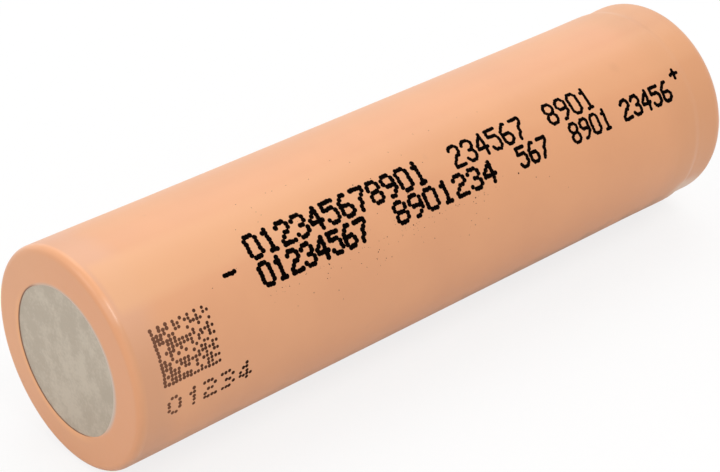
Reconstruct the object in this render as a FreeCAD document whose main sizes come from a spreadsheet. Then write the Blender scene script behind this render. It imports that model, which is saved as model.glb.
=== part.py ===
"""A wound lithium-ion cell in a heat-shrink sleeve, 18 mm across and 65 mm long.

The cell lies on its side along X, with its positive end towards +X and +Z up. The origin is on its
axis, in the middle of its length, where a holder grips it. Each piece is drawn about that axis from
x = 0 at the outer face of the negative end, and its Placement then moves it back by half the length.

Every size that can be set by itself is a cell of the sheet "Sizes". Places that follow from those
sizes are expressions of the cells, written once below and used by all the pieces that meet there.
"""
import FreeCAD, Part
import math
import os
import re
import Sketcher

SIZES = [
    # name, millimetres (or a count or degrees), what it is
    ("cell_diameter", 18.3, "over the sleeve"),
    ("cell_length", 65.3, "from the sleeve's negative end to the positive cap's face"),
    ("film", 0.1, "sleeve film after shrinking"),
    ("base_lip", 3.02, "width of the film's ring on the negative end"),
    ("top_lip", 2.3, "width of the film's ring on the positive end"),
    ("dip_depth", 0.25, "how far the film is drawn into the bead groove"),
    ("dip_lead", 0.1, "film that slopes before and after the groove's mouth"),
    ("dip_run", 0.85, "from the start of the dip to its deepest ring"),
    ("dip_round", 0.6, "rounding of the film along the dip"),
    ("corner_slack", 0.07, "extra radius of the film where it crosses from rim to washer"),
    ("cap_proud", 0.2, "positive cap's face above the film"),
    ("can_wall", 0.22, "drawn steel side wall, bead and crimp"),
    ("can_base", 0.3, "drawn steel base"),
    ("can_corner", 0.5, "outer radius of the base's corner"),
    ("groove_width", 1.2, "bead groove, at its mouth"),
    ("groove_depth", 1.05, "bead groove, from the can's outside"),
    ("groove_lip", 0.25, "rounding of the groove's mouth"),
    ("groove_root", 0.35, "rounding of the groove's bottom"),
    ("rim_step", 0.1, "how much smaller the crimped rim's radius is than the can's"),
    ("rim_corner", 1.1, "outer radius of the crimp's bend"),
    ("crimp_fold", 1.95, "width of the fold over the gasket"),
    ("washer_sheet", 0.2, "fibre washer on the crimp"),
    ("washer_play", 0.4, "from the washer's hole to the cap's boss"),
    ("seat_gap", 0.02, "radial clearance between the round pieces of the header"),
    ("gasket_wall", 0.4, "gasket between the can's rim and the header"),
    ("gasket_lip_sheet", 0.5, "gasket under and over the header"),
    ("gasket_lower_lip", 2.3, "width of the gasket's lip on the bead"),
    ("gasket_upper_lip", 2.1, "width of the gasket's lip under the crimp"),
    ("cap_sheet", 0.5, "plated steel of the positive cap"),
    ("boss_diameter", 9.8, "positive cap's boss at its foot"),
    ("boss_draft", 0.3, "how much the boss's radius narrows to its face"),
    ("boss_corner", 0.55, "rounding of the boss's face"),
    ("boss_foot", 0.3, "rounding where the boss meets its flange"),
    ("window_count", 4, "gas windows around the boss"),
    ("window_angle", 46, "degrees that each gas window spans"),
    ("window_sill", 0.1, "from the cap's flange to a window"),
    ("window_height", 0.85, "gas window, along the cell"),
    ("window_reach", 0.45, "how far a window's cut runs past the boss's wall"),
    ("disc_sheet", 0.3, "aluminium of the burst disc"),
    ("disc_rim", 2.2, "width of the burst disc's flat rim"),
    ("disc_fold", 1.1, "width of the disc's fold over the cap's flange"),
    ("dish_depth", 0.6, "burst disc's dish below its rim"),
    ("nipple_diameter", 2.4, "middle of the disc that is welded to the plate"),
    ("score_diameter", 7.0, "ring where the disc tears"),
    ("score_depth", 0.12, "depth of that ring's notch"),
    ("ring_sheet", 0.35, "insulating ring between the disc and the weld plate"),
    ("ring_skirt", 0.35, "wall of that ring around the plate"),
    ("ring_seat", 1.5, "width of that ring on the plate"),
    ("plate_sheet", 0.4, "weld plate"),
    ("plate_hole", 1.2, "gas hole in the weld plate"),
    ("plate_hole_inset", 1.1, "from the insulating ring to the middle of a gas hole"),
    ("plate_hole_count", 6, "gas holes in the weld plate"),
    ("upper_sheet", 0.3, "insulator on top of the roll"),
    ("upper_eye", 3.6, "middle hole of the upper insulator"),
    ("upper_hole", 1.6, "gas hole in the upper insulator"),
    ("upper_hole_inset", 2.0, "from that insulator's edge to the middle of a gas hole"),
    ("upper_hole_count", 6, "gas holes in the upper insulator"),
    ("lower_sheet", 0.3, "insulator under the roll"),
    ("insulator_play", 0.1, "from an insulator's edge to the can"),
    ("core_diameter", 3.0, "open core of the roll"),
    ("cathode", 0.2, "aluminium foil with its coatings"),
    ("anode", 0.21, "copper foil with its coatings"),
    ("separator", 0.06, "porous film"),
    ("winding_gap", 0.02, "between one wound layer and the next"),
    ("roll_play", 0.1, "from the roll to the can"),
    ("closing_tape", 0.06, "tape around the roll"),
    ("tape_inset", 4.0, "from the roll's end to the closing tape's edge"),
    ("anode_inset", 0.6, "from the separators' edge to the anode's edge"),
    ("cathode_inset", 0.7, "from the anode's edge to the cathode's edge"),
    ("tab_width", 4.0, "strips that carry the current"),
    ("tab_weld", 42.0, "length of a strip inside the roll"),
    ("tab_reach", 2.0, "how far a strip's end runs past the cell's axis"),
    ("tab_play", 0.15, "from a strip to the edges of the slot or bare foil around it"),
    ("cathode_tab", 0.12, "aluminium strip"),
    ("anode_tab", 0.1, "nickel strip"),
    ("tab_tape", 0.05, "insulating tape on a strip"),
    ("tape_border", 0.8, "tape past each edge of a strip"),
]

# Places along the cell, from the positive end down through the header to the bead
LIP_TOP = "(cell_length - cap_proud)"
RIM_TOP = f"({LIP_TOP} - film - washer_sheet)"
CRIMP_LOW = f"({RIM_TOP} - can_wall)"
FOLD_TOP = f"({CRIMP_LOW} - gasket_lip_sheet)"
FLANGE_TOP = f"({FOLD_TOP} - disc_sheet)"
FLANGE_LOW = f"({FLANGE_TOP} - cap_sheet)"
DISC_RIM_LOW = f"({FLANGE_LOW} - disc_sheet)"
GASKET_LOW = f"({DISC_RIM_LOW} - gasket_lip_sheet)"
DISH_LOW = f"({DISC_RIM_LOW} - dish_depth)"
PLATE_TOP = f"({DISH_LOW} - ring_sheet)"
PLATE_LOW = f"({PLATE_TOP} - plate_sheet)"
GROOVE_HIGH = f"({GASKET_LOW} - can_wall)"
GROOVE_LOW = f"({GROOVE_HIGH} - groove_width)"
BEAD_LOW = f"({GROOVE_LOW} - can_wall)"

# Places along the cell, from the base up to the roll and along it
BASE_TOP = "(film + can_base)"
LOWER_INSULATOR = f"({BASE_TOP} + 2 * anode_tab)"
ROLL_LOW = f"({LOWER_INSULATOR} + lower_sheet)"
ROLL_HIGH = f"({BEAD_LOW} - upper_sheet)"
ANODE_LOW = f"({ROLL_LOW} + anode_inset)"
ANODE_HIGH = f"({ROLL_HIGH} - anode_inset)"
CATHODE_LOW = f"({ANODE_LOW} + cathode_inset)"
CATHODE_HIGH = f"({ANODE_HIGH} - cathode_inset)"

# Radii, from the can inwards
SLEEVE_R = "(cell_diameter / 2)"
CAN_R = f"({SLEEVE_R} - film)"
CAN_INNER_R = f"({CAN_R} - can_wall)"
GROOVE_R = f"({CAN_R} - groove_depth)"
RIM_R = f"({CAN_R} - rim_step)"
RIM_INNER_R = f"({RIM_R} - can_wall)"
FILM_CORNER = "(rim_corner + corner_slack)"
GASKET_R = f"({RIM_INNER_R} - seat_gap)"
DISC_R = f"({GASKET_R} - gasket_wall - seat_gap)"
FLANGE_R = f"({DISC_R} - disc_sheet - seat_gap)"
DISH_R = f"({DISC_R} - disc_rim)"
PLATE_R = f"({DISH_R} - ring_skirt - seat_gap)"
RING_INNER_R = f"({PLATE_R} - ring_seat)"
BOSS_R = "(boss_diameter / 2)"
INSULATOR_R = f"({CAN_INNER_R} - insulator_play)"

# The roll: from the inside out, each turn is inner separator, anode, outer separator, cathode
PITCH = "(cathode + anode + 2 * separator + 4 * winding_gap)"
ANODE_IN = "(core_diameter / 2 + separator + winding_gap)"
OUTER_SEPARATOR_IN = f"({ANODE_IN} + anode + winding_gap)"
CATHODE_IN = f"({OUTER_SEPARATOR_IN} + separator + winding_gap)"
TAPE_WIDTH = "(tab_width + 2 * tape_border)"

doc = FreeCAD.newDocument("WoundCell")
sheet = doc.addObject("Spreadsheet::Sheet", "Sizes")


def fill_sheet():
    for row, (name, size, note) in enumerate(SIZES, start=1):
        sheet.set(f"A{row}", name)
        sheet.set(f"B{row}", str(size))
        sheet.set(f"C{row}", note)
        sheet.setAlias(f"B{row}", name)
    doc.recompute()


def value(expression):
    """The number that an expression of the sheet's names comes to."""
    return float(sheet.evalExpression(expression))


def bound(expression):
    """The same expression as another object writes it, with the sheet's name before each size."""
    return re.sub(r"\b([a-z]\w*)", r"Sizes.\1", expression)


# ---------------------------------------------------------------- drawing


def place_piece(piece):
    """Moves a piece that is drawn from the negative end into the frame of the whole cell."""
    piece.setExpression(".Placement.Base.x", bound("-cell_length / 2"))


def new_body(label):
    body = doc.addObject("PartDesign::Body", label)
    body.Label = label
    place_piece(body)
    return body


def origin_feature(body, role):
    return next(feature for feature in body.Origin.OriginFeatures if feature.Role == role)


def new_sketch(body, name, plane, offset="0"):
    """A sketch on one of the body's own planes, moved along the plane's normal by the offset."""
    sketch = body.newObject("Sketcher::SketchObject", name)
    sketch.AttachmentSupport = [(origin_feature(body, plane), "")]
    sketch.MapMode = "FlatFace"
    if offset != "0":
        sketch.setExpression(".AttachmentOffset.Base.z", bound(offset))
    return sketch


def constrain(sketch, kind, *where, size=None):
    """Adds one constraint, and binds it to an expression when it has a size."""
    if size is None:
        return sketch.addConstraint(Sketcher.Constraint(kind, *where))
    index = sketch.addConstraint(Sketcher.Constraint(kind, *where, value(size)))
    sketch.setExpression(f"Constraints[{index}]", bound(size))
    return index


def pin_point(sketch, geometry, point, across, up):
    """Holds a point at two expressions from the sketch's origin, or on an axis where one is "0"."""
    for kind, axis, size in (("DistanceX", -2, across), ("DistanceY", -1, up)):
        if size == "0":
            constrain(sketch, "PointOnObject", geometry, point, axis)
        else:
            constrain(sketch, kind, -1, 1, geometry, point, size=size)


def draw_outline(sketch, corners):
    """Draws a closed outline of straight lines through corners (x, y) or (x, y, rounding).

    A rounded corner keeps its sharp point, which both lines run through, as Sketcher's own fillet
    tool leaves it, so that the same two sizes place it with or without its rounding.
    """
    count = len(corners)
    points = [FreeCAD.Vector(value(corner[0]), value(corner[1]), 0) for corner in corners]
    trims = []
    for index, corner in enumerate(corners):
        back = (points[index - 1] - points[index]).normalize()
        ahead = (points[(index + 1) % count] - points[index]).normalize()
        half_angle = back.getAngle(ahead) / 2
        radius = value(corner[2]) if len(corner) > 2 else 0.0
        trims.append((back, ahead, half_angle, radius, radius / math.tan(half_angle)))
    for index in range(count):
        after = (index + 1) % count
        start = points[index] + trims[index][1] * trims[index][4]
        end = points[after] + trims[after][0] * trims[after][4]
        sketch.addGeometry(Part.LineSegment(start, end))
    for index, corner in enumerate(corners):
        before = (index - 1) % count
        if len(corner) == 2:
            constrain(sketch, "Coincident", before, 2, index, 1)
            pin_point(sketch, index, 1, corner[0], corner[1])
            continue
        back, ahead, half_angle, radius, trim = trims[index]
        arrive = points[index] + back * trim
        leave = points[index] + ahead * trim
        centre = points[index] + (back + ahead).normalize() * (radius / math.sin(half_angle))
        turns_left = (ahead.cross(back)).z > 0
        first, last = (arrive, leave) if turns_left else (leave, arrive)
        angles = [math.atan2(p.y - centre.y, p.x - centre.x) for p in (first, last)]
        circle = Part.Circle(centre, FreeCAD.Vector(0, 0, 1), radius)
        arc = sketch.addGeometry(Part.ArcOfCircle(circle, angles[0], angles[1]))
        arrive_end, leave_end = (1, 2) if turns_left else (2, 1)
        constrain(sketch, "Tangent", before, 2, arc, arrive_end)
        constrain(sketch, "Tangent", arc, leave_end, index, 1)
        constrain(sketch, "Radius", arc, size=corner[2])
        sharp = sketch.addGeometry(Part.Point(points[index]), True)
        constrain(sketch, "PointOnObject", sharp, 1, before)
        constrain(sketch, "PointOnObject", sharp, 1, index)
        pin_point(sketch, sharp, 1, corner[0], corner[1])


def ring_outline(low, high, inner, outer):
    return [(low, inner), (low, outer), (high, outer), (high, inner)]


def turned(label, corners):
    """A body turned about the cell's axis from an outline of corners (x, radius, rounding)."""
    body = new_body(label)
    sketch = new_sketch(body, label + "_profile", "XY_Plane")
    draw_outline(sketch, corners)
    turn = body.newObject("PartDesign::Revolution", label + "_turned")
    turn.Profile = sketch
    turn.ReferenceAxis = (sketch, ["H_Axis"])
    turn.Angle = 360
    sketch.Visibility = False
    body.Tip = turn
    doc.recompute()
    return body


def turned_cut(body, name, corners, angle="360"):
    """Cuts an outline that is turned about the cell's axis, evenly to both sides of its plane."""
    sketch = new_sketch(body, name + "_profile", "XY_Plane")
    draw_outline(sketch, corners)
    cut = body.newObject("PartDesign::Groove", name)
    cut.Profile = sketch
    cut.ReferenceAxis = (sketch, ["H_Axis"])
    cut.Midplane = True
    cut.setExpression("Angle", bound(angle))
    body.Tip = cut
    doc.recompute()
    return cut


def cut_through(body, name, draw):
    """Cuts what draw puts in a sketch across the cell's axis, right through the body."""
    sketch = new_sketch(body, name + "_profile", "YZ_Plane")
    draw(sketch)
    cut = body.newObject("PartDesign::Pocket", name)
    cut.Profile = sketch
    cut.Midplane = True
    cut.Type = "ThroughAll"
    body.Tip = cut
    doc.recompute()
    return cut


def repeat_around(body, feature, count):
    """Repeats a cut evenly around the cell's axis."""
    pattern = body.newObject("PartDesign::PolarPattern", feature.Name + "_pattern")
    pattern.Originals = [feature]
    pattern.Axis = (origin_feature(body, "X_Axis"), [""])
    pattern.Angle = 360
    pattern.setExpression("Occurrences", bound(count))
    body.Tip = pattern
    doc.recompute()
    return pattern


def draw_hole(sketch, across, up, diameter):
    centre = FreeCAD.Vector(value(across), value(up), 0)
    circle = sketch.addGeometry(Part.Circle(centre, FreeCAD.Vector(0, 0, 1), value(diameter) / 2))
    pin_point(sketch, circle, 3, across, up)
    constrain(sketch, "Diameter", circle, size=diameter)


def draw_arc_over(sketch, radius, width):
    """An arc about the cell's axis that spans the width, centred above the axis."""
    spread = math.asin(value(width) / 2 / value(radius))
    circle = Part.Circle(FreeCAD.Vector(), FreeCAD.Vector(0, 0, 1), value(radius))
    up = math.pi / 2
    arc = sketch.addGeometry(Part.ArcOfCircle(circle, up - spread, up + spread))
    constrain(sketch, "Coincident", arc, 3, -1, 1)
    constrain(sketch, "Radius", arc, size=radius)
    return arc


def draw_side_lines(sketch, width, from_arc, low):
    """Two upright lines, half the width to each side, from the arc's ends down to a height."""
    half = value(width) / 2
    sides = []
    for side in (1, -1):
        top = math.sqrt(value(from_arc) ** 2 - half**2)
        top_point = FreeCAD.Vector(side * half, top, 0)
        line = sketch.addGeometry(Part.LineSegment(top_point, FreeCAD.Vector(side * half, low, 0)))
        constrain(sketch, "Vertical", line)
        sides.append(line)
    right, left = sides
    constrain(sketch, "DistanceX", -1, 1, right, 1, size=f"{width} / 2")
    constrain(sketch, "DistanceX", left, 1, -1, 1, size=f"{width} / 2")
    return right, left


def draw_curved_strip(sketch, inner, outer, width):
    """The section of a strip that follows the roll: between two arcs about the cell's axis."""
    outer_arc = draw_arc_over(sketch, outer, width)
    inner_arc = draw_arc_over(sketch, inner, width)
    inner_end = math.sqrt(value(inner) ** 2 - (value(width) / 2) ** 2)
    right, left = draw_side_lines(sketch, width, outer, inner_end)
    constrain(sketch, "Coincident", outer_arc, 1, right, 1)
    constrain(sketch, "Coincident", outer_arc, 2, left, 1)
    constrain(sketch, "Coincident", inner_arc, 1, right, 2)
    constrain(sketch, "Coincident", inner_arc, 2, left, 2)


def draw_tongue(sketch, radius, width, reach):
    """A flat strip from an arc about the cell's axis to a square end beyond the axis."""
    arc = draw_arc_over(sketch, radius, width)
    right, left = draw_side_lines(sketch, width, radius, -value(reach))
    half = value(width) / 2
    ends = [FreeCAD.Vector(side * half, -value(reach), 0) for side in (1, -1)]
    end_line = sketch.addGeometry(Part.LineSegment(ends[0], ends[1]))
    constrain(sketch, "Coincident", arc, 1, right, 1)
    constrain(sketch, "Coincident", arc, 2, left, 1)
    constrain(sketch, "Coincident", right, 2, end_line, 1)
    constrain(sketch, "Coincident", left, 2, end_line, 2)
    constrain(sketch, "Horizontal", end_line)
    constrain(sketch, "DistanceY", end_line, 1, -1, 1, size=reach)


def pad_along(body, name, draw, low, length):
    """Pads what draw puts in a sketch across the cell's axis, from a place along the cell."""
    sketch = new_sketch(body, name + "_profile", "YZ_Plane", offset=low)
    draw(sketch)
    pad = body.newObject("PartDesign::Pad", name)
    pad.Profile = sketch
    pad.setExpression("Length", bound(length))
    body.Tip = pad
    doc.recompute()
    return pad


# ---------------------------------------------------------------- outside


def shrink_sleeve():
    """Film over the whole can, drawn a little into the bead groove and curled over both ends."""
    dip_start = f"({GROOVE_LOW} - dip_lead)"
    dip_low = f"({dip_start} + dip_run)"
    dip_end = f"({GROOVE_HIGH} + dip_lead)"
    window_r = f"({SLEEVE_R} - base_lip)"
    opening_r = f"({SLEEVE_R} - top_lip)"
    return turned("shrink_sleeve", [
        ("0", window_r),
        ("0", SLEEVE_R, "can_corner + film"),
        (dip_start, SLEEVE_R, "dip_round"),
        (dip_low, f"{SLEEVE_R} - dip_depth", "dip_round"),
        (dip_end, f"{RIM_R} + film", "dip_round"),
        (LIP_TOP, f"{RIM_R} + film", f"{FILM_CORNER} + film"),
        (LIP_TOP, opening_r),
        (f"{LIP_TOP} - film", opening_r),
        (f"{LIP_TOP} - film", RIM_R, FILM_CORNER),
        (dip_end, RIM_R, "dip_round"),
        (dip_low, f"{CAN_R} - dip_depth", "dip_round"),
        (dip_start, CAN_R, "dip_round"),
        ("film", CAN_R, "can_corner"),
        ("film", window_r),
    ])


def insulating_washer():
    """Fibre ring on the crimp: its outer edge is under the film, its hole clears the cap's boss."""
    top = f"{RIM_TOP} + washer_sheet"
    inner = f"{BOSS_R} + washer_play"
    return turned("insulating_washer", ring_outline(RIM_TOP, top, inner, f"{RIM_R} - {FILM_CORNER}"))


def steel_can():
    """Deep-drawn can: a flat base, the rolled bead that carries the header, and the crimp over it."""
    wall_root = "groove_root + can_wall"
    crimp_r = f"{RIM_R} - crimp_fold"
    return turned("steel_can", [
        ("film", "0"),
        ("film", CAN_R, "can_corner"),
        (GROOVE_LOW, CAN_R, "groove_lip"),
        (GROOVE_LOW, GROOVE_R, "groove_root"),
        (GROOVE_HIGH, GROOVE_R, "groove_root"),
        (GROOVE_HIGH, RIM_R, "groove_lip"),
        (RIM_TOP, RIM_R, "rim_corner"),
        (RIM_TOP, crimp_r),
        (CRIMP_LOW, crimp_r),
        (CRIMP_LOW, RIM_INNER_R, "rim_corner - can_wall"),
        (GASKET_LOW, RIM_INNER_R),
        (GASKET_LOW, f"{GROOVE_R} - can_wall", wall_root),
        (BEAD_LOW, f"{GROOVE_R} - can_wall", wall_root),
        (BEAD_LOW, CAN_INNER_R),
        (BASE_TOP, CAN_INNER_R, "can_corner - can_wall"),
        (BASE_TOP, "0"),
    ])


# ---------------------------------------------------------------- header


def sealing_gasket():
    """Ring folded around the header, squeezed between the bead and the crimp."""
    wall_r = f"{GASKET_R} - gasket_wall"
    return turned("sealing_gasket", [
        (GASKET_LOW, f"{GASKET_R} - gasket_lower_lip"),
        (GASKET_LOW, GASKET_R),
        (CRIMP_LOW, GASKET_R, "rim_corner - can_wall"),
        (CRIMP_LOW, f"{GASKET_R} - gasket_upper_lip"),
        (FOLD_TOP, f"{GASKET_R} - gasket_upper_lip"),
        (FOLD_TOP, wall_r),
        (DISC_RIM_LOW, wall_r),
        (DISC_RIM_LOW, f"{GASKET_R} - gasket_lower_lip"),
    ])


def positive_cap():
    """Pressed cap: a boss with gas windows in its wall, on a flange that the disc is folded over."""
    face_low = "cell_length - cap_sheet"
    face_r = f"{BOSS_R} - boss_draft"
    body = turned("positive_cap", [
        ("cell_length", "0"),
        ("cell_length", face_r, "boss_corner"),
        (FLANGE_TOP, BOSS_R, "boss_foot"),
        (FLANGE_TOP, FLANGE_R),
        (FLANGE_LOW, FLANGE_R),
        (FLANGE_LOW, f"{BOSS_R} - cap_sheet", "boss_foot + cap_sheet"),
        (face_low, f"{face_r} - cap_sheet"),
        (face_low, "0"),
    ])
    sill = f"{FLANGE_TOP} + window_sill"
    window = turned_cut(body, "gas_window", ring_outline(
        sill,
        f"{sill} + window_height",
        f"{face_r} - cap_sheet - window_reach",
        f"{BOSS_R} + window_reach",
    ), angle="window_angle")
    repeat_around(body, window, "window_count")
    return body


def burst_disc():
    """Dished disc, folded over the cap's flange, that snaps outwards and tears at its scored ring."""
    nipple_r = "(nipple_diameter / 2)"
    sheet_r = f"({DISC_R} - disc_sheet)"
    fold_r = f"{DISC_R} - disc_fold"
    dish_top = f"({DISH_LOW} + disc_sheet)"
    body = turned("burst_disc", [
        (PLATE_TOP, "0"),
        (PLATE_TOP, nipple_r),
        (DISH_LOW, nipple_r),
        (DISH_LOW, DISH_R),
        (DISC_RIM_LOW, DISH_R),
        (DISC_RIM_LOW, DISC_R),
        (FOLD_TOP, DISC_R),
        (FOLD_TOP, fold_r),
        (FLANGE_TOP, fold_r),
        (FLANGE_TOP, sheet_r),
        (FLANGE_LOW, sheet_r),
        (FLANGE_LOW, f"{DISH_R} - disc_sheet"),
        (dish_top, f"{DISH_R} - disc_sheet"),
        (dish_top, f"{nipple_r} - disc_sheet"),
        (f"{PLATE_TOP} + disc_sheet", f"{nipple_r} - disc_sheet"),
        (f"{PLATE_TOP} + disc_sheet", "0"),
    ])
    turned_cut(body, "scored_ring", [
        (f"{dish_top} - score_depth", "score_diameter / 2"),
        (dish_top, "score_diameter / 2 - score_depth"),
        (dish_top, "score_diameter / 2 + score_depth"),
    ])
    return body


def disc_insulator():
    """Ring that keeps the weld plate off the disc everywhere but at the nipple."""
    return turned("disc_insulator", [
        (PLATE_TOP, RING_INNER_R),
        (PLATE_TOP, f"{PLATE_R} + seat_gap"),
        (PLATE_LOW, f"{PLATE_R} + seat_gap"),
        (PLATE_LOW, DISH_R),
        (DISH_LOW, DISH_R),
        (DISH_LOW, RING_INNER_R),
    ])


def weld_plate():
    """Pierced plate that joins the cathode's strip to the disc's nipple."""
    body = turned("weld_plate", [
        (PLATE_LOW, "0"),
        (PLATE_LOW, PLATE_R),
        (PLATE_TOP, PLATE_R),
        (PLATE_TOP, "0"),
    ])
    hole_r = f"{RING_INNER_R} - plate_hole_inset"
    hole = cut_through(body, "plate_gas_hole", lambda s: draw_hole(s, hole_r, "0", "plate_hole"))
    repeat_around(body, hole, "plate_hole_count")
    return body


# ---------------------------------------------------------------- roll


def turn_count():
    """Whole turns that fit between the core and the can, with the closing tape around them."""
    room = value(f"{CAN_INNER_R} - roll_play - closing_tape - {CATHODE_IN}")
    return int(room / value(PITCH) + 1e-6)


def at_turn(radius, turn):
    """Radius of a layer in the upper half of a turn, where it is round about the cell's axis."""
    return f"({radius} + {turn} * {PITCH})"


def half_turn(radius, index, place):
    """An arc over (even) or under (odd) the axis. Each arc ends where the next one begins.

    The arcs over the axis are centred on it, and those under it half a pitch beside it, so that
    layers wound one inside the other stay parallel all the way.
    """
    pitch = value(PITCH)
    reach = radius + (index // 2) * pitch
    if index % 2 == 0:
        points = [(reach, 0), (0, reach), (-reach, 0)]
    else:
        points = [(-reach, 0), (pitch / 2, -reach - pitch / 2), (reach + pitch, 0)]
    return Part.Arc(*[FreeCAD.Vector(place, y, z) for y, z in points]).toShape()


def bare_foil(strip_outer, thickness, low, high):
    """The room for a strip in the outer face of a sheet: a curved block to cut away."""
    start = FreeCAD.Vector(value(low), 0, 0)
    along = FreeCAD.Vector(1, 0, 0)
    length = value(f"{high} - {low}")
    width = value("tab_width + 2 * tab_play")
    outside = Part.makeCylinder(value(f"{strip_outer} + winding_gap / 2"), length, start, along)
    inside = Part.makeCylinder(value(f"{strip_outer} - {thickness}"), length, start, along)
    corner = FreeCAD.Vector(value(low), -width / 2, 0)
    over_axis = Part.makeBox(length, width, value(strip_outer) * 2, corner)
    return outside.cut(inside).common(over_axis)


def wound(label, radius, thickness, half_turns, low, high, bare=()):
    """A sheet wound through a run of half turns, with bare places for the strips welded to it."""
    start = value(low)
    inner = [half_turn(value(radius), index, start) for index in half_turns]
    outer = [half_turn(value(f"{radius} + {thickness}"), index, start) for index in half_turns]
    first_points = [layer[0].firstVertex().Point for layer in (inner, outer)]
    last_points = [layer[-1].lastVertex().Point for layer in (inner, outer)]
    ends = [Part.LineSegment(*pair).toShape() for pair in (first_points, last_points)]
    loop = Part.Wire(Part.__sortEdges__(inner + outer + ends))
    solid = Part.Face(loop).extrude(FreeCAD.Vector(value(f"{high} - {low}"), 0, 0))
    for place in bare:
        solid = solid.cut(place)
    piece = doc.addObject("Part::Feature", label)
    piece.Label = label
    piece.Shape = solid
    place_piece(piece)
    return piece


def strip(label, outer, thickness, low, high, foot):
    """A strip that lies in the roll, leaves it and is folded flat across the cell's axis."""
    inner = f"({outer} - {thickness})"
    body = new_body(label)
    pad_along(body, label + "_upright",
              lambda s: draw_curved_strip(s, inner, outer, "tab_width"), low, f"{high} - {low}")
    pad_along(body, label + "_foot",
              lambda s: draw_tongue(s, outer, "tab_width", "tab_reach"), foot, thickness)
    return body


def strip_tape(label, strip_inner, low, high):
    """Tape on the inner face of a strip, where the strip leaves the roll."""
    inner = f"({strip_inner} - tab_tape)"
    body = new_body(label)
    pad_along(body, label + "_band",
              lambda s: draw_curved_strip(s, inner, strip_inner, TAPE_WIDTH), low, f"{high} - {low}")
    return body


def draw_slot(sketch, inner, outer):
    """A curved slot that a strip and its tape pass through with play all round."""
    draw_curved_strip(sketch, f"({inner} - tab_play)", f"({outer} + tab_play)",
                      f"({TAPE_WIDTH} + 2 * tab_play)")


def upper_insulator(strip_inner, strip_outer):
    """Pierced disc between the roll and the bead, with a slot for the cathode's strip."""
    body = turned("upper_insulator", ring_outline(ROLL_HIGH, BEAD_LOW, "upper_eye / 2", INSULATOR_R))
    hole_r = f"{INSULATOR_R} - upper_hole_inset"
    hole = cut_through(body, "upper_gas_hole", lambda s: draw_hole(s, hole_r, "0", "upper_hole"))
    repeat_around(body, hole, "upper_hole_count")
    cut_through(body, "upper_slot", lambda s: draw_slot(s, strip_inner, strip_outer))
    return body


def lower_insulator(eye_strip_outer, edge_strip_inner):
    """Disc under the roll: the inner strip passes its eye, the outer one a notch in its edge."""
    eye_r = f"{eye_strip_outer} + tab_play"
    body = turned("lower_insulator", ring_outline(LOWER_INSULATOR, ROLL_LOW, eye_r, INSULATOR_R))
    cut_through(body, "lower_notch", lambda s: draw_slot(s, edge_strip_inner, INSULATOR_R))
    return body


def roll_with_strips():
    """The wound sheets, the strips that carry their current, and the insulators at both ends."""
    turns = turn_count()
    last = 2 * turns
    anode_turns = range(2, last)
    cathode_turns = range(3, last - 2)
    cathode_face = at_turn(f"{CATHODE_IN} + cathode", turns // 2)
    inner_anode_face = at_turn(f"{ANODE_IN} + anode", 1)
    outer_anode_face = at_turn(f"{ANODE_IN} + anode", turns - 1)
    cathode_weld = f"({CATHODE_HIGH} - tab_weld)"
    anode_weld = f"({ANODE_LOW} + tab_weld)"

    wound("inner_separator", "core_diameter / 2", "separator", range(last), ROLL_LOW, ROLL_HIGH)
    wound("anode_sheet", ANODE_IN, "anode", anode_turns, ANODE_LOW, ANODE_HIGH, [
        bare_foil(face, "anode_tab", ROLL_LOW, anode_weld)
        for face in (inner_anode_face, outer_anode_face)
    ])
    wound("outer_separator", OUTER_SEPARATOR_IN, "separator", range(last), ROLL_LOW, ROLL_HIGH)
    wound("cathode_sheet", CATHODE_IN, "cathode", cathode_turns, CATHODE_LOW, CATHODE_HIGH,
          [bare_foil(cathode_face, "cathode_tab", cathode_weld, ROLL_HIGH)])
    wound("closing_tape", CATHODE_IN, "closing_tape", range(last - 2, last),
          f"({ROLL_LOW} + tape_inset)", f"({ROLL_HIGH} - tape_inset)")

    strip("cathode_tab", cathode_face, "cathode_tab", cathode_weld, PLATE_LOW,
          f"({PLATE_LOW} - cathode_tab)")
    strip("outer_anode_tab", outer_anode_face, "anode_tab", BASE_TOP, anode_weld, BASE_TOP)
    inner_foot = f"({BASE_TOP} + anode_tab)"
    strip("inner_anode_tab", inner_anode_face, "anode_tab", inner_foot, anode_weld, inner_foot)

    cathode_back = f"({cathode_face} - cathode_tab)"
    anode_back = f"({outer_anode_face} - anode_tab)"
    strip_tape("cathode_tab_tape", cathode_back, CATHODE_HIGH,
               f"({PLATE_LOW} - cathode_tab - tab_play)")
    strip_tape("anode_tab_tape", anode_back, LOWER_INSULATOR, ANODE_LOW)

    upper_insulator(f"({cathode_back} - tab_tape)", cathode_face)
    lower_insulator(inner_anode_face, f"({anode_back} - tab_tape)")


# ---------------------------------------------------------------- checks and files


def check(pieces):
    """Stops where a feature failed to recompute, or a piece isn't one valid solid."""
    for item in doc.Objects:
        if "Invalid" in item.State or "Error" in item.State:
            raise RuntimeError(f"{item.Label}: {item.State}")
    for piece in pieces:
        if piece.Shape.isNull() or not piece.Shape.isValid() or len(piece.Shape.Solids) != 1:
            raise RuntimeError(f"{piece.Label} is not one valid solid")


def main():
    fill_sheet()
    shrink_sleeve()
    insulating_washer()
    steel_can()
    sealing_gasket()
    positive_cap()
    burst_disc()
    disc_insulator()
    weld_plate()
    roll_with_strips()
    doc.recompute()
    pieces = [item for item in doc.Objects
              if item.isDerivedFrom("PartDesign::Body") or item.TypeId == "Part::Feature"]
    check(pieces)
    os.makedirs("parts", exist_ok=True)
    for piece in pieces:
        piece.Shape.exportStep(f"parts/{piece.Label}.step")


main()
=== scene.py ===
"""Looks of a cylindrical battery cell that lies on its side on a pale studio floor.

The cell's axis is X, with its plain can bottom towards -X and its raised button towards +X.
"along" is a place on the axis in millimetres, and "turn" goes round the cell in degrees:
0 faces -Y, 90 faces up.
"""

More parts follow.
